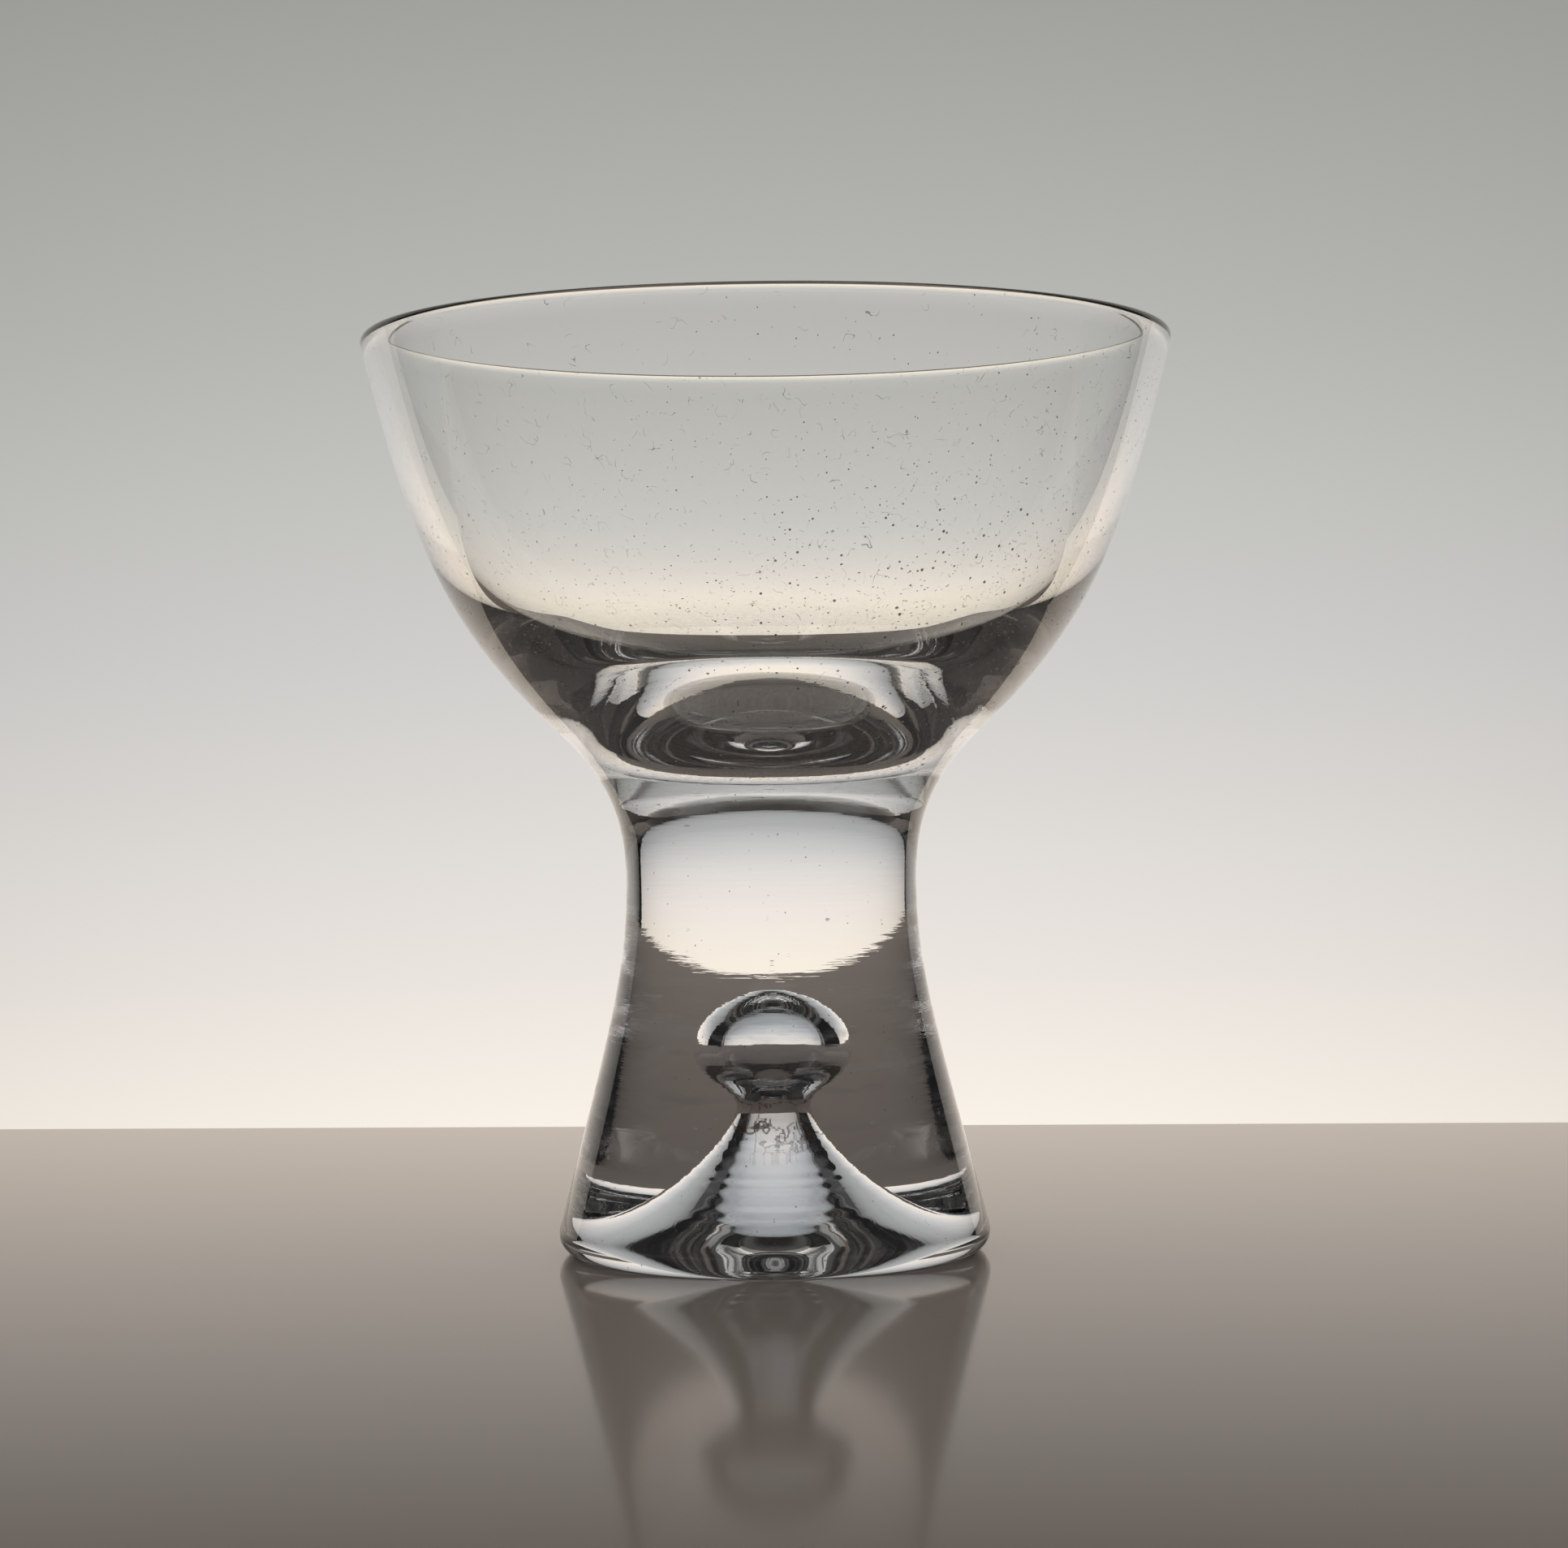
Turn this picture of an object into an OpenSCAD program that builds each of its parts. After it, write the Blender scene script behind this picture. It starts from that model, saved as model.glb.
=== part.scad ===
// Short-stemmed cocktail glass in clear glass: a thin blown bowl fused to a solid waisted stem
// that widens into its own foot. An air bubble sits inside the stem and opens, through a narrow
// neck and a bell, under the foot. Everything is turned about the upright axis, so each sub-part
// is one outline of [radius, height] points in millimetres, with the table at height 0.

/* [Bowl] */
// Largest outside diameter, at the rim
rim_d = 86; // [80:0.5:92]
// Height of the rim above the table
rim_z = 97.5; // [92:0.5:104]
// Lean of the wall away from upright at the rim, in degrees
rim_lean = 14; // [8:1:20]
// Thickness of the wall at the rim
rim_wall = 1.9; // [1.4:0.1:2.4]
// Part of the wall's thickening that starts soon below the rim
early_wall = 1.7; // [1:0.1:2.4]
// Thickness of the wall at the cheek, where the inside turns into the bottom
cheek_wall = 5.9; // [5.2:0.1:6.6]
// Place of the cheek, as a share of the outside's curve from the rim to the seam
cheek_share = 0.802; // [0.76:0.002:0.84]
// Thickness of the glass in the middle of the bowl's bottom
bottom_wall = 3.2; // [2.4:0.1:4.2]

/* [Seam between bowl and stem] */
// Outside diameter of the line where the bowl meets the stem
seam_d = 44.8; // [42:0.2:47]
// Height of that line above the table
seam_z = 55.3; // [54:0.1:56.5]
// Lean of the outline away from upright at the seam, in degrees
seam_lean = 46.5; // [42:0.5:51]
// How far the round underside of the bowl dips below the seam line
seam_dip = 5; // [4:0.1:7]

/* [Stem and foot] */
// Diameter of the waist, the narrowest place of the stem
waist_d = 31; // [27:0.1:34]
// Height of the waist above the table
waist_z = 39; // [36:0.1:42]
// Largest diameter of the foot
foot_d = 46; // [42:0.5:50]
// Lean of the stem's side away from upright where it meets the foot, in degrees
foot_lean = 15; // [10:1:20]
// Radius of the foot's rounded outer edge
foot_edge_r = 2.2; // [1.5:0.1:3]

/* [Bubble and bell] */
// Height of the top of the bubble above the table
bubble_top_z = 27.1; // [25:0.1:30]
// Largest diameter of the bubble
bubble_d = 11.3; // [9:0.1:13]
// Height of the bubble's widest place above the table
bubble_z = 20.4; // [19:0.1:22.5]
// Diameter of the narrow neck under the bubble
neck_d = 5.2; // [4:0.1:6.4]
// Height of the neck above the table
neck_z = 14.3; // [13:0.1:16.5]
// Diameter of the bell's mouth at the table
mouth_d = 30.4; // [28:0.2:34]
// Rise of the bell's side above level at its mouth, in degrees
mouth_rise = 12.7; // [5:0.1:18]

/* [Hidden] */
// How far each curve runs on along the lean of its two ends, as shares of the distance between them
outside_pull = [0.5, 0.352];
floor_pull = [0.366, 0.462];
underside_pull = [0.25, 0.4];
throat_pull = [0.49, 0.3];
flare_pull = [0.22, 0.6];
bell_pull = [0.35, 0.139];
bubble_low_pull = [0.326, 0.513];
bubble_high_pull = [0.467, 0.244];

// How late the wall thickens on its way from the rim to the cheek, for the part that it gains early
// and for the rest: 1 is evenly, more is later
early_growth = 1.82;
late_growth = 5.22;
// Share of that way over which the lean of the inside at the cheek is taken
cheek_step = 0.025;

// Steps along one curve and along one rounded edge
curve_steps = 24;
edge_steps = 10;
$fn = 96;

clear_glass = [0.86, 0.90, 0.90, 0.45];

// Unit directions: level towards the axis, straight up and straight down
inwards = [-1, 0];
up = [0, 1];
down = [0, -1];

// Unit step down a side that narrows downwards, and one that widens downwards
function down_in(lean) = [-sin(lean), -cos(lean)];
function down_out(lean) = [sin(lean), -cos(lean)];

// Point at share t of the cubic curve with the end points p[0] and p[3] and the handles p[1] and p[2]
function curve_point(p, t) =
    pow(1 - t, 3) * p[0] + 3 * pow(1 - t, 2) * t * p[1] + 3 * (1 - t) * t * t * p[2] + t * t * t * p[3];

// Ends and handles of a curve that starts and ends along the given unit directions
function handles(from, to, leave, arrive, pull) =
    let (span = norm(to - from))
    [from, from + pull[0] * span * leave, to - pull[1] * span * arrive, to];

// Points along a curve with the given ends and handles
function along(p) = [for (i = [0 : curve_steps]) curve_point(p, i / curve_steps)];

function sweep(from, to, leave, arrive, pull) = along(handles(from, to, leave, arrive, pull));

// Points of an arc about a centre, between two angles in degrees
function arc(centre, r, from, to) =
    [for (i = [0 : edge_steps]) let (a = from + (to - from) * i / edge_steps) centre + r * [cos(a), sin(a)]];

function reversed(points) = [for (i = [len(points) - 1 : -1 : 0]) points[i]];
function after_first(points) = [for (i = [1 : len(points) - 1]) points[i]];
function between_ends(points) = [for (i = [1 : len(points) - 2]) points[i]];

// Outside of the bowl, from the rim to the seam line
rim_r = rim_wall / 2;
rim_centre = [rim_d / 2 - rim_r, rim_z - rim_r];
across_wall = [cos(rim_lean), -sin(rim_lean)];
outside_top = rim_centre + rim_r * across_wall;
seam_ring = [seam_d / 2, seam_z];
outside = handles(outside_top, seam_ring, down_in(rim_lean), down_in(seam_lean), outside_pull);
bowl_outside = along(outside);

// Round underside of the bowl, from the seam line to the axis, where the stem is fused on
underside_middle = [0, seam_z - seam_dip];
underside = sweep(seam_ring, underside_middle, down_in(seam_lean), inwards, underside_pull);

// Inside of the bowl: the outside moved in by a wall that thickens down to the cheek, and from there
// a curve to the middle of the floor
late_wall = cheek_wall - rim_wall - early_wall;
function wall_at(share) =
    rim_wall + early_wall * pow(share, early_growth) + late_wall * pow(share, late_growth);
function wall_point(share) = curve_point(outside, cheek_share * share) - wall_at(share) * across_wall;
cheek = wall_point(1);
cheek_way = cheek - wall_point(1 - cheek_step);
floor_middle = underside_middle + [0, bottom_wall];
bowl_inside = concat(
    [for (i = [0 : curve_steps - 1]) wall_point(i / curve_steps)],
    sweep(cheek, floor_middle, cheek_way / norm(cheek_way), inwards, floor_pull)
);

// Side of the stem, from the seam line past the waist to the underside of the foot's edge
waist = [waist_d / 2, waist_z];
foot_centre = [foot_d / 2 - foot_edge_r, foot_edge_r];
foot_top = foot_centre + foot_edge_r * [cos(foot_lean), sin(foot_lean)];
stem_side = concat(
    sweep(seam_ring, waist, down_in(seam_lean), down, throat_pull),
    after_first(sweep(waist, foot_top, down, down_out(foot_lean), flare_pull)),
    after_first(arc(foot_centre, foot_edge_r, foot_lean, -90))
);

// Hollow under the foot, from the bell's mouth past the neck to the top of the bubble
mouth = [mouth_d / 2, 0];
neck = [neck_d / 2, neck_z];
bubble_side = [bubble_d / 2, bubble_z];
bubble_top = [0, bubble_top_z];
hollow = concat(
    sweep(mouth, neck, [-cos(mouth_rise), sin(mouth_rise)], up, bell_pull),
    after_first(sweep(neck, bubble_side, up, up, bubble_low_pull)),
    after_first(sweep(bubble_side, bubble_top, up, inwards, bubble_high_pull))
);

// Blown bowl with its fire-polished rim and thick rounded bottom
module bowl() {
    rim = arc(rim_centre, rim_r, 180 - rim_lean, -rim_lean);
    color(clear_glass)
        rotate_extrude()
            polygon(concat(bowl_outside, after_first(underside), reversed(bowl_inside), between_ends(rim)));
}

// Solid stem and foot, seated on the underside of the bowl and hollowed from below
module stem() {
    color(clear_glass)
        rotate_extrude()
            polygon(concat(reversed(underside), after_first(stem_side), hollow));
}

bowl();
stem();
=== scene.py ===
import math

import bmesh
import bpy
from bpy.props import FloatProperty, FloatVectorProperty, IntProperty, PointerProperty
from bpy.types import Operator, Panel, PropertyGroup
from mathutils import Matrix, Vector


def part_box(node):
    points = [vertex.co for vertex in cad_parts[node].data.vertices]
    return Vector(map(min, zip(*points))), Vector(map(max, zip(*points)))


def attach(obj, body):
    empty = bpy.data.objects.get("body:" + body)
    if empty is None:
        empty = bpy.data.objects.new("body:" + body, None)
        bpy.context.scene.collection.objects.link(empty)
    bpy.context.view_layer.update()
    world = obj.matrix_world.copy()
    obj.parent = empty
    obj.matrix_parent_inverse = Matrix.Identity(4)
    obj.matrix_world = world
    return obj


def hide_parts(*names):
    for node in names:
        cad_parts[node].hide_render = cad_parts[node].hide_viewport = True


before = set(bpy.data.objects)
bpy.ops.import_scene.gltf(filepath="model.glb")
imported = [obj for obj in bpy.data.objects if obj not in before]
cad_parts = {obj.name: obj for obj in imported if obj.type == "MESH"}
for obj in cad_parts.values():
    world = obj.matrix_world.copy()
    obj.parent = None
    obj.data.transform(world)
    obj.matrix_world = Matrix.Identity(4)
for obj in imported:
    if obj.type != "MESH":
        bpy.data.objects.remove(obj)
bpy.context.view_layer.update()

bl_info = {
    "name": "Short-stemmed cocktail glass",
    "version": (1, 0, 0),
    "blender": (4, 5, 0),
    "location": "3D View > Sidebar > Glass",
    "description": "Turns a clear glass bowl and its bubble stem, and lights them on a small table",
    "category": "Add Mesh",
}

MM = 0.001

# Width of the photograph, its focal length, and how far its middle lies right of and below the place
# that is level with the eye and straight ahead, all in its pixels
PHOTO_WIDTH = 1932
PHOTO_FOCAL = 4140
AIM_RIGHT = 17
AIM_LOWER = 23.5

# Turn of the camera about its line of sight, in degrees, and the width of its sensor in millimetres
CAMERA_ROLL = -0.6
SENSOR_WIDTH = 36

# Handle lengths of each curve, as shares of the straight distance between its ends
OUTSIDE_PULL = (0.5, 0.352)
FLOOR_PULL = (0.366, 0.462)
UNDERSIDE_PULL = (0.25, 0.4)
THROAT_PULL = (0.49, 0.3)
FLARE_PULL = (0.22, 0.6)
BELL_PULL = (0.35, 0.139)
BUBBLE_LOW_PULL = (0.326, 0.513)
BUBBLE_HIGH_PULL = (0.467, 0.244)

# How late the bowl's wall thickens on its way from the rim to the cheek, for the part that it gains
# early and for the rest, and the share of that way over which the inside's lean at the cheek is taken
EARLY_GROWTH = 1.82
LATE_GROWTH = 5.22
CHEEK_STEP = 0.025

# Steps along one curve, along one rounded edge and up the ringed bell
CURVE_STEPS = 40
EDGE_STEPS = 12
BELL_STEPS = 140

# Shares of the bell's height between which it is ringed, how unevenly the rings follow each other, and
# after how many rings that repeats
RING_LOW = 0.15
RING_HIGH = 0.86
RING_DRIFT = 0.7
DRIFT_RINGS = 3

# Sectors of one full turn, and the distance within which their points are joined
SECTORS = 16
WELD_REACH = 0.0001 * MM

UP = Vector((0, 0, 1))
DOWN = -UP
INWARDS = Vector((-1, 0, 0))

bowl_low, bowl_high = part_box("bowl")
_, stem_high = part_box("stem")


def length(name, description, default):
    """Property for a length in metres."""
    return FloatProperty(
        name=name, description=description, default=default, min=0, precision=5, unit="LENGTH"
    )


def angle(name, description, degrees):
    """Property for an angle, given here in degrees."""
    return FloatProperty(name=name, description=description, default=math.radians(degrees), unit="ROTATION")


def share(name, description, default, most=1.0):
    """Property for a plain number between nothing and a most."""
    return FloatProperty(name=name, description=description, default=default, min=0, max=most, precision=3)


def display(red, green, blue):
    """Linear colour of a colour given as it shows on a screen, from 0 to 255."""
    shares = (value / 255 for value in (red, green, blue))
    return tuple(s / 12.92 if s <= 0.04045 else ((s + 0.055) / 1.055) ** 2.4 for s in shares)


def tone(name, description, red, green, blue):
    """Property for a colour, given here as it shows on a screen."""
    colour = display(red, green, blue)
    return FloatVectorProperty(
        name=name, description=description, default=colour, size=3, min=0, max=1, subtype="COLOR"
    )


class BowlShape(PropertyGroup):
    """Sizes of the blown bowl."""

    rim_width: length("Rim width", "Largest outside diameter, at the rim", 2 * bowl_high.x)
    rim_height: length("Rim height", "Height of the rim above the table", bowl_high.z)
    rim_lean: angle("Rim lean", "Lean of the wall away from upright at the rim", 14)
    rim_wall: length("Rim wall", "Thickness of the wall at the rim", 1.9 * MM)
    early_wall: length("Early wall", "Part of the thickening that starts soon below the rim", 1.7 * MM)
    cheek_wall: length("Cheek wall", "Thickness where the inside turns into the bottom", 5.9 * MM)
    cheek_share: share("Cheek place", "Place of the cheek on the outside's curve from rim to seam", 0.802)
    bottom_wall: length("Bottom wall", "Thickness of the glass in the middle of the bottom", 3.2 * MM)
    seam_width: length("Seam width", "Outside diameter of the line where bowl and stem meet", 44.8 * MM)
    seam_height: length("Seam height", "Height of the seam line above the table", stem_high.z)
    seam_lean: angle("Seam lean", "Lean of the outline away from upright at the seam", 46.5)
    seam_dip: length("Seam dip", "Dip of the round underside below the seam line", stem_high.z - bowl_low.z)
    segments: IntProperty(
        name="Segments", description="Steps of one full turn", default=256, min=24, max=512
    )


class StemShape(PropertyGroup):
    """Sizes of the stem, its foot and the hollow in it."""

    waist_width: length("Waist width", "Diameter of the stem's narrowest place", 31 * MM)
    waist_height: length("Waist height", "Height of the waist above the table", 39 * MM)
    foot_width: length("Foot width", "Largest diameter of the foot", 2 * stem_high.x)
    foot_lean: angle("Foot lean", "Lean of the stem's side where it meets the foot", 15)
    foot_edge: length("Foot edge", "Radius of the foot's rounded outer edge", 2.2 * MM)
    bubble_top: length("Bubble top", "Height of the bubble's top above the table", 27.1 * MM)
    bubble_width: length("Bubble width", "Largest diameter of the bubble", 11.3 * MM)
    bubble_height: length("Bubble height", "Height of the bubble's widest place", 20.4 * MM)
    neck_width: length("Neck width", "Diameter of the narrow neck under the bubble", 5.2 * MM)
    neck_height: length("Neck height", "Height of the neck above the table", 14.3 * MM)
    mouth_width: length("Mouth width", "Diameter of the bell's mouth at the table", 30.4 * MM)
    mouth_rise: angle("Mouth rise", "Rise of the bell's side above level at its mouth", 12.7)
    ring_step: length("Ring step", "Height of one of the soft rings inside the bell", 1.2 * MM)
    ring_depth: length("Ring depth", "Depth of the rings inside the bell", 0.03 * MM)


class GlassFinish(PropertyGroup):
    """Look of the clear glass."""

    tint: tone("Tint", "Colour left in light that has gone through the bowl", 253, 254, 253)
    stem_tint: tone("Stem tint", "Colour left in light that has gone through the thick stem", 241, 244, 248)
    bending: FloatProperty(name="Refraction", description="Index of refraction", default=1.51, min=1, max=2)
    dust: tone("Dust", "Colour of dust and lint", 188, 187, 187)
    haze: share("Haze", "Share of the surface under fine dust on the bowl's wall", 0.008)
    bottom_haze: share("Bottom haze", "Further share under the dust that settled in the bowl's bottom", 0.12)
    residue: tone("Residue", "Colour of dried marks in the bowl's bottom and the bell", 120, 92, 70)
    ripple: length("Ripple", "Height of the fine marks that run round the stem", 0.014 * MM)


class StageLook(PropertyGroup):
    """Table, backdrop light and camera."""

    table: tone("Table", "Colour of the table top", 205, 191, 181)
    polish: tone("Polish", "Colour of what the table top mirrors", 238, 236, 234)
    table_gloss: share("Table roughness", "Roughness of the table's polish", 0.09)
    far_edge: length("Far edge", "Distance of the table's far edge behind the glass", 121 * MM)
    panel_back: length("Panel distance", "Distance of the light panel behind the glass", 215 * MM)
    panel_half: length("Panel half width", "Half the width of the light panel", 273.5 * MM)
    panel_left: length("Panel shift", "Distance of the panel's middle to the left of the glass", 19.5 * MM)
    panel_power: share("Panel light", "Strength of the light panel in its middle", 1.16, 2.0)
    room: share("Room light", "Light of the room on the table", 0.17)
    dark_room: share("Dark room", "Light of the room in the glass's own reflections", 0.01)
    eye_height: length("Eye height", "Height of the camera above the table", 52.8 * MM)
    eye_distance: length("Eye distance", "Distance of the camera in front of the glass", 358.9 * MM)
    focal_share: share(
        "Focal share", "Focal length as a share of the picture's width", PHOTO_FOCAL / PHOTO_WIDTH, 5.0
    )


class Value:
    """Socket that carries a number, so that sums on it add Math nodes."""

    def __init__(self, bench, socket):
        self.bench = bench
        self.socket = socket

    def math_node(self, operation, first, second):
        return self.bench.value("ShaderNodeMath", 0, {"operation": operation}, {0: first, 1: second})

    def __add__(self, other):
        return self.math_node("ADD", self, other)

    def __sub__(self, other):
        return self.math_node("SUBTRACT", self, other)

    def __rsub__(self, other):
        return self.math_node("SUBTRACT", other, self)

    def __mul__(self, other):
        return self.math_node("MULTIPLY", self, other)

    def __truediv__(self, other):
        return self.math_node("DIVIDE", self, other)

    def __pow__(self, other):
        return self.math_node("POWER", self, other)

    def __abs__(self):
        return self.math_node("ABSOLUTE", self, 0)

    def __gt__(self, other):
        return self.math_node("GREATER_THAN", self, other)

    __radd__ = __add__
    __rmul__ = __mul__


class Bench:
    """Empty node tree on which a material or the world is laid out."""

    def __init__(self, tree):
        self.tree = tree
        tree.nodes.clear()

    def node(self, kind, settings=None, sockets=None):
        """Adds a node: its settings first, then the values or links of its sockets."""
        made = self.tree.nodes.new(kind)
        for name, setting in (settings or {}).items():
            if name == "stops":
                self.set_stops(made.color_ramp, setting)
            else:
                setattr(made, name, setting)
        for key, value in (sockets or {}).items():
            if isinstance(value, Value):
                self.tree.links.new(value.socket, made.inputs[key])
            else:
                made.inputs[key].default_value = value
        return made

    def value(self, kind, output, settings=None, sockets=None):
        """Adds a node and gives one of its outputs."""
        return Value(self, self.node(kind, settings, sockets).outputs[output])

    def set_stops(self, ramp, stops):
        """Gives a colour ramp its stops, as pairs of place and linear colour."""
        while len(ramp.elements) < len(stops):
            ramp.elements.new(1)
        for element, (place, colour) in zip(ramp.elements, stops):
            element.position = place
            element.color = (*colour, 1)

    def ramp(self, factor, stops):
        return self.value("ShaderNodeValToRGB", "Color", {"stops": stops}, {"Fac": factor})

    def mix(self, factor, first, second):
        """Mixes two colours, which are sockets 6 and 7 of a Mix node, with the mix at output 2."""
        pair = {6: self.rgba(first), 7: self.rgba(second)}
        return self.value("ShaderNodeMix", 2, {"data_type": "RGBA"}, {0: factor, **pair})

    def blend(self, factor, first, second):
        """Mixes two shaders."""
        return self.value("ShaderNodeMixShader", 0, None, {0: factor, 1: first, 2: second})

    def coat(self, cover, surface, colour):
        """Shader under a thin layer of dust or dried matter, where the cover mask says."""
        layer = self.value("ShaderNodeBsdfTranslucent", 0, None, {"Color": (*colour, 1)})
        return self.blend(cover, surface, layer)

    def stretch(self, vector, factors):
        """Vector with each of its three numbers multiplied."""
        return self.value("ShaderNodeVectorMath", 0, {"operation": "MULTIPLY"}, {0: vector, 1: factors})

    def brighten(self, colour, factor):
        """Colour multiplied by a number."""
        return self.value("ShaderNodeVectorMath", 0, {"operation": "SCALE"}, {0: colour, "Scale": factor})

    def noise(self, place, scale, detail=1.0):
        """Soft noise about one half, with patches of about one over the scale."""
        return self.value("ShaderNodeTexNoise", 0, None, {"Vector": place, "Scale": scale, "Detail": detail})

    def cells(self, place, scale):
        """Distance from the middle of a scattered cell, and a chance between 0 and 1 for each cell."""
        cells = self.node("ShaderNodeTexVoronoi", None, {"Vector": place, "Scale": scale})
        colours = self.node("ShaderNodeSeparateColor", None, {0: Value(self, cells.outputs["Color"])})
        return Value(self, cells.outputs["Distance"]), Value(self, colours.outputs[0])

    def steps(self, factor, stops):
        """Number that follows stops of place and level."""
        return self.ramp(factor, [(place, (level,) * 3) for place, level in stops])

    @staticmethod
    def rgba(colour):
        return colour if isinstance(colour, Value) else (*colour, 1)

    def object_place(self):
        """Object coordinates as a vector and as its three numbers."""
        place = self.value("ShaderNodeTexCoord", "Object")
        parts = self.node("ShaderNodeSeparateXYZ", None, {0: place})
        return place, [Value(self, output) for output in parts.outputs]


def down_in(lean):
    """Unit step down a side that narrows downwards."""
    return Vector((-math.sin(lean), 0, -math.cos(lean)))


def down_out(lean):
    """Unit step down a side that widens downwards."""
    return Vector((math.sin(lean), 0, -math.cos(lean)))


def curve_point(handles, share):
    """Point at a share of the way along a cubic curve."""
    left = 1 - share
    weights = (left ** 3, 3 * left ** 2 * share, 3 * left * share ** 2, share ** 3)
    return sum((handle * weight for handle, weight in zip(handles, weights)), Vector((0, 0, 0)))


def handles_of(start, end, leave, arrive, pull):
    """Ends and handles of a curve that starts and ends along the given directions."""
    span = (end - start).length
    return start, start + leave * span * pull[0], end - arrive * span * pull[1], end


def along(handles):
    """Points along a curve."""
    return [curve_point(handles, i / CURVE_STEPS) for i in range(CURVE_STEPS + 1)]


def sweep(start, end, leave, arrive, pull):
    """Points of a curve between two points, with its directions there."""
    return along(handles_of(start, end, leave, arrive, pull))


def arc(centre, radius, start, end):
    """Points of an arc in the outline's plane, between two angles."""
    turns = (start + (end - start) * i / EDGE_STEPS for i in range(EDGE_STEPS + 1))
    return [centre + radius * Vector((math.cos(a), 0, math.sin(a))) for a in turns]


def underside(bowl):
    """Round underside of the bowl, from the seam line to the axis."""
    ring = Vector((bowl.seam_width / 2, 0, bowl.seam_height))
    middle = Vector((0, 0, bowl.seam_height - bowl.seam_dip))
    return sweep(ring, middle, down_in(bowl.seam_lean), INWARDS, UNDERSIDE_PULL)


def bowl_outline(bowl):
    """Open face of the bowl, from the middle of its floor over the rim to the seam line."""
    radius = bowl.rim_wall / 2
    centre = Vector((bowl.rim_width / 2 - radius, 0, bowl.rim_height - radius))
    across = Vector((math.cos(bowl.rim_lean), 0, -math.sin(bowl.rim_lean)))
    bottom = underside(bowl)
    leans = down_in(bowl.rim_lean), down_in(bowl.seam_lean)
    outside = handles_of(centre + across * radius, bottom[0], *leans, OUTSIDE_PULL)

    def wall_point(share):
        late_wall = bowl.cheek_wall - bowl.rim_wall - bowl.early_wall
        wall = bowl.rim_wall + bowl.early_wall * share ** EARLY_GROWTH + late_wall * share ** LATE_GROWTH
        return curve_point(outside, bowl.cheek_share * share) - across * wall

    cheek = wall_point(1)
    cheek_way = (cheek - wall_point(1 - CHEEK_STEP)).normalized()
    wall = [wall_point(i / CURVE_STEPS) for i in range(CURVE_STEPS)]
    floor = sweep(cheek, bottom[-1] + UP * bowl.bottom_wall, cheek_way, INWARDS, FLOOR_PULL)
    inside = wall + floor
    rim = arc(centre, radius, math.pi - bowl.rim_lean, -bowl.rim_lean)
    return inside[::-1] + rim[1:-1] + along(outside)


def ringed_bell(mouth, neck, stem):
    """Points up the bell from its mouth to the neck, with soft rings that fade at both ends."""
    rise = Vector((-math.cos(stem.mouth_rise), 0, math.sin(stem.mouth_rise)))
    handles = handles_of(mouth, neck, rise, UP, BELL_PULL)
    points = [curve_point(handles, i / BELL_STEPS) for i in range(BELL_STEPS + 1)]
    for point in points:
        ringed = (point.z / neck.z - RING_LOW) / (RING_HIGH - RING_LOW)
        if 0 < ringed < 1:
            turns = math.tau * point.z / stem.ring_step
            wave = math.sin(turns + RING_DRIFT * math.sin(turns / DRIFT_RINGS))
            point.x += stem.ring_depth / 2 * wave * math.sin(math.pi * ringed) ** 0.5
    return points


def stem_outline(bowl, stem):
    """Open face of the stem, from the seam line past the foot to the top of the bubble."""
    ring = underside(bowl)[0]
    waist = Vector((stem.waist_width / 2, 0, stem.waist_height))
    edge = Vector((stem.foot_width / 2 - stem.foot_edge, 0, stem.foot_edge))
    foot = arc(edge, stem.foot_edge, stem.foot_lean, -math.pi / 2)
    throat = sweep(ring, waist, down_in(bowl.seam_lean), DOWN, THROAT_PULL)
    flare = sweep(waist, foot[0], DOWN, down_out(stem.foot_lean), FLARE_PULL)
    mouth = Vector((stem.mouth_width / 2, 0, 0))
    neck = Vector((stem.neck_width / 2, 0, stem.neck_height))
    side = Vector((stem.bubble_width / 2, 0, stem.bubble_height))
    top = Vector((0, 0, stem.bubble_top))
    bell = ringed_bell(mouth, neck, stem)
    bubble = sweep(neck, side, UP, UP, BUBBLE_LOW_PULL)
    crown = sweep(side, top, UP, INWARDS, BUBBLE_HIGH_PULL)
    return throat + flare[1:] + foot[1:] + bell + bubble[1:] + crown[1:]


def turn(mesh, outline, slot, segments):
    """Turns an outline about the upright axis, one sector first and then its copies."""
    kinds = mesh.verts, mesh.edges, mesh.faces
    old = [set(parts) for parts in kinds]
    points = [mesh.verts.new(point) for point in outline]
    lines = [mesh.edges.new(pair) for pair in zip(points, points[1:])]
    sector = math.tau / SECTORS
    centre = {"cent": (0, 0, 0), "axis": UP, "dvec": (0, 0, 0)}
    bmesh.ops.spin(mesh, geom=points + lines, angle=sector, steps=segments // SECTORS, **centre)
    verts, edges, faces = (
        [part for part in parts if part not in kept] for parts, kept in zip(kinds, old)
    )
    for face in faces:
        face.material_index = slot
    copies = {"angle": math.tau - sector, "steps": SECTORS - 1, "use_duplicate": True}
    bmesh.ops.spin(mesh, geom=verts + edges + faces, **copies, **centre)


def add_object(name, mesh, materials):
    """Object from a finished bmesh, with its materials in the order of their slots."""
    data = bpy.data.meshes.new(name)
    mesh.to_mesh(data)
    mesh.free()
    for material in materials:
        data.materials.append(material)
    made = bpy.data.objects.new(name, data)
    bpy.context.scene.collection.objects.link(made)
    return made


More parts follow.
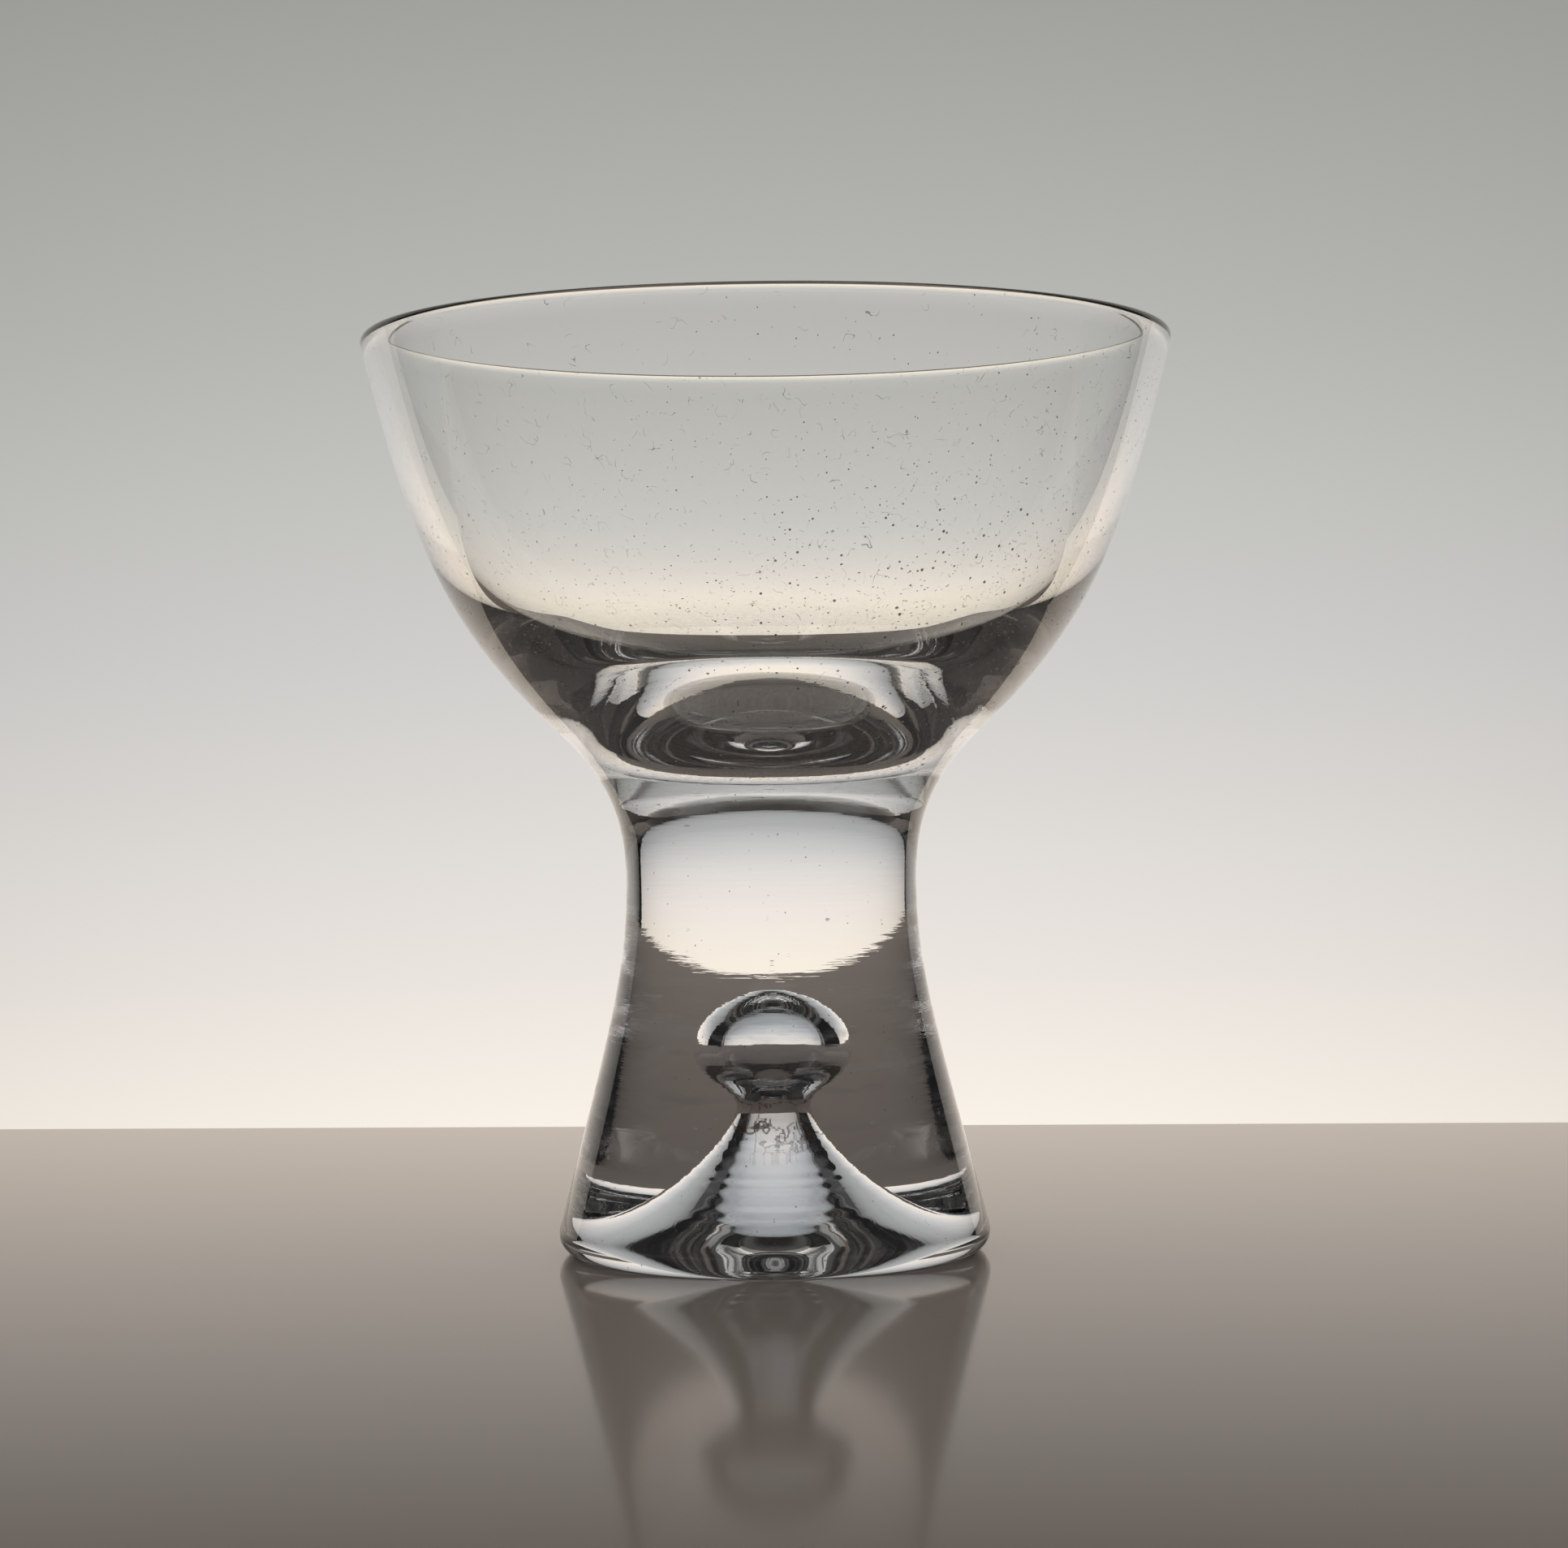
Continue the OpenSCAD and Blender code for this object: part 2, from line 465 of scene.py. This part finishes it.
def make_piece(name, node, outlines, materials, segments):
    """Makes a turned piece that stands for a CAD node, with one material for each outline."""
    mesh = bmesh.new()
    for slot, outline in enumerate(outlines):
        turn(mesh, outline, slot, segments)
    bmesh.ops.remove_doubles(mesh, verts=mesh.verts, dist=WELD_REACH)
    bmesh.ops.recalc_face_normals(mesh, faces=mesh.faces)
    for face in mesh.faces:
        face.smooth = True
    for edge in mesh.edges:
        edge.smooth = len({face.material_index for face in edge.link_faces}) == 1
    piece = add_object(name, mesh, materials)
    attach(piece, "root")
    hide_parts(node)


def new_bench(name):
    """New material and the bench for its nodes."""
    material = bpy.data.materials.new(name)
    material.use_nodes = True
    return material, Bench(material.node_tree)


def fused_seam():
    """Material of the faces where the two gathers are melted together, which show nothing."""
    material, bench = new_bench("fused_seam")
    through = bench.value("ShaderNodeBsdfTransparent", 0)
    bench.node("ShaderNodeOutputMaterial", None, {"Surface": through})
    return material


def clear_glass(bench, tint, bending, **normal):
    """Shader of clear glass, with a normal socket where its surface is rippled."""
    clear = {"Roughness": 0.0, "IOR": bending, "Transmission Weight": 1.0}
    sockets = {"Base Color": (*tint, 1), **clear, **normal}
    return bench.value("ShaderNodeBsdfPrincipled", 0, None, sockets)


def axis_distance(x, y):
    """Distance from the upright axis."""
    return (x * x + y * y) ** 0.5


# Scattered cells to a metre for the dust, the radius of a large speck as a share of a cell, and how
# much rarer large specks are than small ones
SPECK_CELLS = 1400
SPECK_SIZE = 0.21
SPECK_RARITY = 4

# Bends and cells to a metre for the lint, its width as a share of the noise that bends it, and the
# share of cells without any
LINT_BENDS = 480
LINT_CELLS = 900
LINT_WIDTH = 0.004
LINT_FREE = 0.94

# Grains of haze and patches of dust to a metre
GRAINS = 2200
PATCHES = 45

# How much more dust lies on the right and low down in the bowl, and how much less everywhere
CROWD_RIGHT = 0.3
CROWD_LOW = 2
CROWD_LESS = 0.1

# How much of the glass is hidden by specks, fibres and the dregs in the bowl
SPECK_COVER = 0.9
LINT_COVER = 0.6
DREGS_COVER = 0.3


def specks(bench, place, crowd):
    """Mask of dust specks of many sizes, more and larger where the crowd socket is higher."""
    distance, chance = bench.cells(place, SPECK_CELLS)
    return (chance ** SPECK_RARITY * crowd * SPECK_SIZE - distance) > 0


def lint(bench, place):
    """Mask of short curled fibres."""
    line = (LINT_WIDTH - abs(bench.noise(place, LINT_BENDS) - 0.5)) > 0
    _, chance = bench.cells(place, LINT_CELLS)
    return line * (chance > LINT_FREE)


def bowl_glass(finish):
    """Clear glass of the bowl under dust, lint, dregs and a haze that is thickest in its bottom."""
    material, bench = new_bench("bowl_glass")
    place, (x, y, z) = bench.object_place()
    level = z / bowl_high.z
    low = bench.steps(level, [(0.575, 1), (0.645, 0)])
    middle = bench.steps(axis_distance(x, y) / bowl_high.x, [(0.2, 1), (0.33, 0)])
    # The grain is about one half, so twice the grain keeps the shares of the haze
    grain = bench.noise(place, GRAINS)
    haze = (low * finish.bottom_haze + finish.haze) * grain * 2
    patches = bench.noise(place, PATCHES)
    crowd = patches + x / bowl_high.x * CROWD_RIGHT + (1 - level) * CROWD_LOW - CROWD_LESS
    dust = haze + specks(bench, place, crowd) * SPECK_COVER + lint(bench, place) * LINT_COVER
    dregs = low * middle * grain * DREGS_COVER
    surface = bench.coat(dust, clear_glass(bench, finish.tint, finish.bending), finish.dust)
    surface = bench.coat(dregs, surface, finish.residue)
    bench.node("ShaderNodeOutputMaterial", None, {"Surface": surface})
    return material


# Radius that parts the hollow from the stem's outside
HOLLOW_REACH = 15.4 * MM

# Ripples round the stem and streaks of smudge, to a metre along X, Y and Z
RIPPLES = (150, 150, 2500)
STREAKS = (130, 130, 600)

# Dried trickles to a metre, the level of their noise and their width on it
TRICKLES = 450
TRICKLE_LEVEL = 0.55
TRICKLE_WIDTH = 0.02

# How crowded the stem's specks are, and how much of the glass specks, smudges and trickles hide there
STEM_CROWD = 0.7
STEM_SPECK_COVER = 0.7
SMUDGE_COVER = 0.17
TRICKLE_COVER = 0.6


def stem_glass(finish):
    """Clear glass of the stem, rippled round its side, with specks, smudges and dried marks."""
    material, bench = new_bench("stem_glass")
    place, (x, y, z) = bench.object_place()
    hollow = (HOLLOW_REACH - axis_distance(x, y)) > 0
    outside = 1 - hollow
    level = z / stem_high.z
    turned = bench.steps(level, [(0.15, 0.15), (0.3, 1), (0.65, 1), (0.9, 0.25)])
    ripples = bench.noise(bench.stretch(place, RIPPLES), 1, 2.0) * finish.ripple * turned * outside
    normal = bench.value("ShaderNodeBump", 0, None, {"Distance": 1.0, "Height": ripples})
    held = bench.steps(level, [(0.22, 0), (0.3, 1), (0.45, 1), (0.52, 0)])
    streaks = bench.steps(bench.noise(bench.stretch(place, STREAKS), 1, 2.0), [(0.55, 0), (0.72, 1)])
    smudge = held * outside * streaks * SMUDGE_COVER
    dust = specks(bench, place, STEM_CROWD) * STEM_SPECK_COVER + smudge
    dried = bench.steps(level, [(0.17, 0), (0.21, 1), (0.235, 1), (0.245, 0)])
    trickles = (TRICKLE_WIDTH - abs(bench.noise(place, TRICKLES, 2.0) - TRICKLE_LEVEL)) > 0
    film = bench.steps(level, [(0.2, 0), (0.24, 0.25), (0.275, 0.25), (0.29, 0)])
    marks = hollow * (dried * trickles * TRICKLE_COVER + film)
    surface = clear_glass(bench, finish.stem_tint, finish.bending, Normal=normal)
    surface = bench.coat(dust, surface, finish.dust)
    surface = bench.coat(marks, surface, finish.residue)
    bench.node("ShaderNodeOutputMaterial", None, {"Surface": surface})
    return material


# Colours by height in metres, of the backdrop that the camera sees and of the panel that lights the glass
BACKDROP = (
    (-0.02, display(255, 247, 235)),
    (0.015, display(236, 230, 224)),
    (0.071, display(208, 207, 205)),
    (0.126, display(184, 185, 180)),
    (0.182, display(162, 163, 158)),
)
PANEL = (
    (-0.02, display(255, 242, 224)),
    (0.015, display(245, 234, 223)),
    (0.071, display(208, 205, 201)),
    (0.126, display(179, 178, 175)),
    (0.20, display(170, 170, 166)),
    (0.31, display(151, 151, 147)),
    (0.40, display(122, 121, 117)),
)

# Heights of the panel's lower and upper edges in metres, between which both lists of colours lie
PANEL_LOW = -0.06
PANEL_HIGH = 0.40
PANEL_SPAN = PANEL_HIGH - PANEL_LOW


def colour_at(bench, height, colours):
    """Colour at a height socket."""
    stops = [((level - PANEL_LOW) / PANEL_SPAN, colour) for level, colour in colours]
    return bench.ramp((height - PANEL_LOW) / PANEL_SPAN, stops)


# Slant of view, as one less its cosine, at which the table starts to mirror, and how fast that grows
SHEEN_START = 0.76
SHEEN_SLOPE = 3.9

# Width, depth and thickness of the table, the radius of its edges and its gap under the glass
TABLE_SIZE = (1.2, 0.9, 0.02)
TABLE_EDGE = 1.5 * MM
TABLE_GAP = 0.02 * MM

# Turn of the table about the middle of its far edge, in degrees
TABLE_TURN = -3.4


def table_top(look):
    """Table slab with a rounded edge, a little turned, whose soft mirror is not seen through the glass."""
    material, bench = new_bench("table_top")
    ray = bench.node("ShaderNodeLightPath")
    through = Value(bench, ray.outputs["Is Transmission Ray"])
    matt = bench.value("ShaderNodeBsdfDiffuse", 0, None, {"Color": (*look.table, 1)})
    gloss = {"Color": (*look.polish, 1), "Roughness": look.table_gloss}
    polish = bench.value("ShaderNodeBsdfGlossy", 0, None, gloss)
    facing = bench.value("ShaderNodeLayerWeight", "Facing", None, {"Blend": 0.5})
    sheen = (facing - SHEEN_START) * SHEEN_SLOPE * (1 - through)
    surface = bench.blend(sheen, matt, polish)
    bench.node("ShaderNodeOutputMaterial", None, {"Surface": surface})
    mesh = bmesh.new()
    bmesh.ops.create_cube(mesh, size=1, matrix=Matrix.Diagonal((*TABLE_SIZE, 1)))
    middle = (0, look.far_edge - TABLE_SIZE[1] / 2, -TABLE_SIZE[2] / 2 - TABLE_GAP)
    bmesh.ops.translate(mesh, verts=mesh.verts, vec=middle)
    bmesh.ops.bevel(
        mesh, geom=mesh.edges[:], offset=TABLE_EDGE, segments=3, profile=0.5, affect="EDGES", material=-1
    )
    slant = Matrix.Rotation(math.radians(TABLE_TURN), 4, "Z")
    pivot = Matrix.Translation((0, look.far_edge, 0))
    bmesh.ops.transform(mesh, verts=mesh.verts, matrix=pivot @ slant @ pivot.inverted())
    add_object("table_top", mesh, [material])


# Distance to either side of the glass at which the panel's light has fallen by a strength of 1
PANEL_FADE = 0.42


def light_panel(look):
    """Soft panel behind the glass, pale below and greyer above."""
    material, bench = new_bench("light_panel")
    _, (x, _, z) = bench.object_place()
    falloff = look.panel_power - (x / PANEL_FADE) ** 2
    colour = bench.brighten(colour_at(bench, z, PANEL), falloff)
    glow = bench.value("ShaderNodeEmission", 0, None, {"Color": colour})
    bench.node("ShaderNodeOutputMaterial", None, {"Surface": glow})
    mesh = bmesh.new()
    bmesh.ops.create_grid(mesh, x_segments=8, y_segments=8, size=0.5)
    size = Matrix.Diagonal((2 * look.panel_half, PANEL_SPAN, 1, 1))
    upright = Matrix.Rotation(math.pi / 2, 4, "X")
    middle = Matrix.Translation((-look.panel_left, look.panel_back, PANEL_LOW + PANEL_SPAN / 2))
    bmesh.ops.transform(mesh, verts=mesh.verts, matrix=middle @ upright @ size)
    panel = add_object("light_panel", mesh, [material])
    panel.visible_camera = False


# Light of the walls as the glass bends it, by the turn away from straight behind the glass as a share
# of half a turn: the dark gaps beside the panel, then dim and pale walls
WALLS = (
    (0.31, (0.004, 0.004, 0.004)),
    (0.345, (0.14, 0.136, 0.132)),
    (0.39, (0.19, 0.185, 0.18)),
)

# Light of the room overhead
TOP_LIGHT = (0.07, 0.07, 0.066)

# Share of the pale backdrop that the glass's own sharp reflections lose
SHARP_LOSS = 0.88


def room_light(look):
    """World whose light depends on the kind of ray.

    The camera, the table's mirror and what the glass bends from the front and the sides show a pale
    backdrop. What the glass mirrors is a dark room. The table gets plain light, but next to none
    through the glass, so that the glass casts a shadow.
    """
    scene = bpy.context.scene
    scene.world = bpy.data.worlds.new("room")
    scene.world.use_nodes = True
    bench = Bench(scene.world.node_tree)
    ray = bench.node("ShaderNodeLightPath")
    kinds = ("Is Camera Ray", "Is Diffuse Ray", "Is Singular Ray")
    camera, diffuse, sharp = (Value(bench, ray.outputs[name]) for name in kinds)
    depths = ("Diffuse Depth", "Glossy Depth", "Transmission Depth")
    scattered, mirrored, bent = (Value(bench, ray.outputs[name]) > 0.5 for name in depths)

    # Turn of the ray's way from straight behind the glass, and its height at the backdrop
    way = bench.value("ShaderNodeTexCoord", "Generated")
    parts = bench.node("ShaderNodeSeparateXYZ", None, {0: way})
    x, y, z = (Value(bench, output) for output in parts.outputs)
    azimuth = abs(bench.value("ShaderNodeMath", 0, {"operation": "ARCTAN2"}, {0: x, 1: y})) / math.pi
    level = (1 - z * z) ** 0.5
    height = look.eye_height + (look.eye_distance + look.panel_back) * z / level
    backdrop = colour_at(bench, height, BACKDROP)

    # What the glass bends and what its outer faces mirror, with the backdrop round most of the room
    dark = (look.dark_room,) * 3
    low = bench.steps(z, [(0.4, 1), (0.65, 0)])
    round_about = low * bench.steps(azimuth, [(0.42, 0), (0.48, 1)])
    walls = bench.brighten(bench.ramp(azimuth, WALLS), bench.steps(z, [(0, 1), (0.55, 0.45)]))
    sides = bench.mix(round_about, walls, backdrop)
    outer = bench.mix(round_about * (1 - sharp * SHARP_LOSS), dark, backdrop)

    # Light for each kind of ray, the later kinds over the earlier ones
    above = bench.steps(z, [(0.7, 0), (0.8, 1), (0.9, 1), (0.97, 0)])
    aside = bench.steps(x * x, [(0, 1), (0.06, 0.89)])
    seen = bench.mix(mirrored, sides, bench.mix(bent, outer, dark))
    seen = bench.mix(above, seen, TOP_LIGHT)
    seen = bench.mix(scattered, seen, dark)
    seen = bench.mix(diffuse, seen, (look.room,) * 3)
    seen = bench.mix(camera, seen, bench.brighten(backdrop, aside))
    sky = bench.value("ShaderNodeBackground", 0, None, {"Color": seen})
    bench.node("ShaderNodeOutputWorld", None, {"Surface": sky})


def photo_camera(look):
    """Camera at the photograph's place, aimed nearly level and a little rolled."""
    scene = bpy.context.scene
    data = bpy.data.cameras.new("photo_camera")
    data.sensor_width = SENSOR_WIDTH
    data.lens = look.focal_share * data.sensor_width
    data.clip_start = 1 * MM
    camera = bpy.data.objects.new("photo_camera", data)
    scene.collection.objects.link(camera)
    focal = look.focal_share * PHOTO_WIDTH
    spot = Matrix.Translation((0, -look.eye_distance, look.eye_height))
    aim = Matrix.Rotation(-math.atan(AIM_RIGHT / focal), 4, "Z")
    tip = Matrix.Rotation(math.pi / 2 - math.atan(AIM_LOWER / focal), 4, "X")
    roll = Matrix.Rotation(math.radians(CAMERA_ROLL), 4, "Z")
    camera.matrix_world = spot @ aim @ tip @ roll
    scene.camera = camera


class GLASS_OT_stage(Operator):
    """Set the table, the light panel, the room light and the camera"""

    bl_idname = "glass.set_stage"
    bl_label = "Set stage"

    def execute(self, context):
        scene = context.scene
        look = scene.stage_look
        scene.view_settings.view_transform = "Standard"
        scene.cycles.max_bounces = 24
        scene.cycles.transmission_bounces = 24
        scene.cycles.glossy_bounces = 12
        scene.cycles.transparent_max_bounces = 32
        photo_camera(look)
        table_top(look)
        light_panel(look)
        room_light(look)
        return {"FINISHED"}


class GLASS_OT_bowl(Operator):
    """Turn the blown bowl"""

    bl_idname = "glass.make_bowl"
    bl_label = "Make bowl"

    def execute(self, context):
        bowl = context.scene.bowl_shape
        outlines = (bowl_outline(bowl), underside(bowl))
        materials = (bowl_glass(context.scene.glass_finish), fused_seam())
        make_piece("glass_bowl", "bowl", outlines, materials, bowl.segments)
        return {"FINISHED"}


class GLASS_OT_stem(Operator):
    """Turn the stem with its foot and bubble"""

    bl_idname = "glass.make_stem"
    bl_label = "Make stem"

    def execute(self, context):
        bowl = context.scene.bowl_shape
        outlines = (stem_outline(bowl, context.scene.stem_shape), underside(bowl))
        materials = (stem_glass(context.scene.glass_finish), fused_seam())
        make_piece("glass_stem", "stem", outlines, materials, bowl.segments)
        return {"FINISHED"}


class GLASS_PT_panel(Panel):
    """Sizes and looks of the glass, and the steps that make it"""

    bl_idname = "GLASS_PT_panel"
    bl_label = "Cocktail glass"
    bl_space_type = "VIEW_3D"
    bl_region_type = "UI"
    bl_category = "Glass"

    def draw(self, context):
        for group in GROUPS:
            settings = getattr(context.scene, group)
            box = self.layout.box()
            for name in settings.__annotations__:
                box.prop(settings, name)
        for step in STEPS:
            self.layout.operator(step.bl_idname)


GROUPS = {
    "bowl_shape": BowlShape,
    "stem_shape": StemShape,
    "glass_finish": GlassFinish,
    "stage_look": StageLook,
}
STEPS = (GLASS_OT_stage, GLASS_OT_bowl, GLASS_OT_stem)
CLASSES = (*GROUPS.values(), *STEPS, GLASS_PT_panel)


def register():
    for part in CLASSES:
        bpy.utils.register_class(part)
    for name, group in GROUPS.items():
        setattr(bpy.types.Scene, name, PointerProperty(type=group))


def unregister():
    for name in GROUPS:
        delattr(bpy.types.Scene, name)
    for part in reversed(CLASSES):
        bpy.utils.unregister_class(part)


def main():
    """Builds the stage and the glass."""
    register()
    bpy.ops.glass.set_stage()
    bpy.ops.glass.make_bowl()
    bpy.ops.glass.make_stem()


if __name__ == "__main__":
    main()
